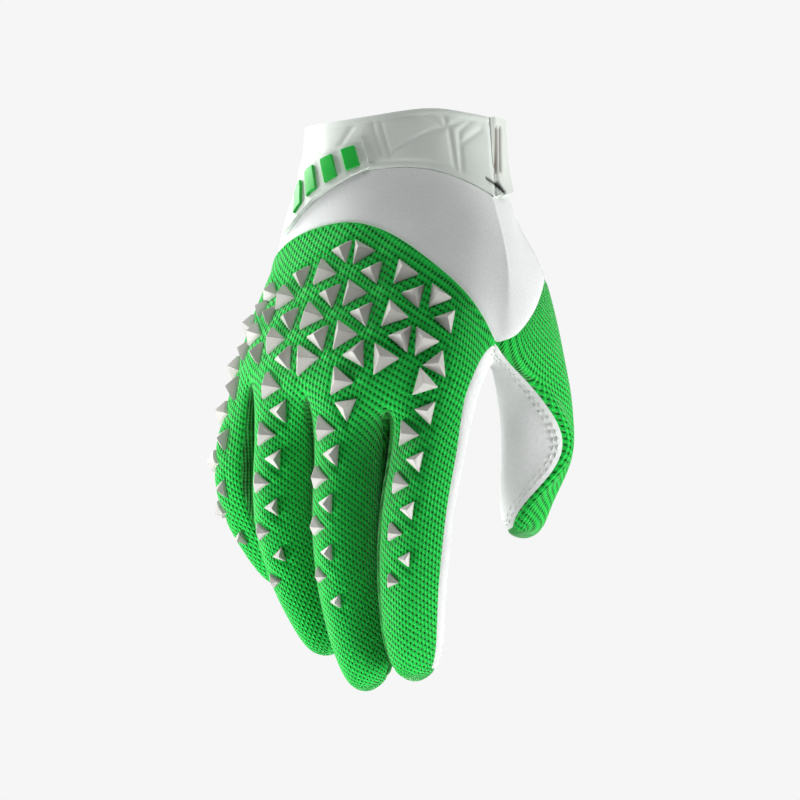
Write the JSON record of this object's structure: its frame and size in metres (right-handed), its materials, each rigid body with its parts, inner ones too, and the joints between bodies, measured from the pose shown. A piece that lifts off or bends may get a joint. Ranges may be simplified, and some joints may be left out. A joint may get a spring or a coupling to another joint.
{
  "type": "motorcycle glove",
  "caption": "Short-cuff off-road motorcycle glove for the right hand, with a knitted back, rubber studs over the knuckles and fingers, and a moulded wrist band.",
  "frame": {"origin": "middle of the wrist opening", "axes": "+Z out of the wrist opening towards the forearm, fingers towards -Z; the back of the hand faces -Y; the thumb is on the +X side"},
  "size_m": [0.1175, 0.0848, 0.185],
  "materials": {
    "green_knit": "matte knit",
    "green_thumb_knit": "matte knit",
    "green_gusset": "matte ribbed stretch",
    "white_stretch": "smooth stretch",
    "pale_palm": "matte synthetic suede",
    "thumb_suede": "matte suede",
    "moulded_cuff": "satin, embossed",
    "cuff_strap": "satin",
    "badge_plate": "satin",
    "badge_bars": "satin",
    "stud_rubber": "satin"
  },
  "bodies": {
    "root": {"back_mesh": "green_knit", "cuff": "moulded_cuff", "cuff_badge": "badge_plate", "cuff_badge_bar_1": "badge_bars", "cuff_badge_bar_2": "badge_bars", "cuff_badge_bar_3": "badge_bars", "cuff_badge_bar_4": "badge_bars", "cuff_tab": "cuff_strap", "fourchette_little_ring": "green_gusset", "fourchette_middle_index": "green_gusset", "fourchette_ring_middle": "green_gusset", "index_studs": "stud_rubber", "knuckle_studs": "stud_rubber", "little_studs": "stud_rubber", "middle_studs": "stud_rubber", "palm": "pale_palm", "ring_studs": "stud_rubber", "thumb_mesh": "green_thumb_knit", "thumb_suede": "thumb_suede", "wrist_panel": "white_stretch"}
  },
  "joints": []
}
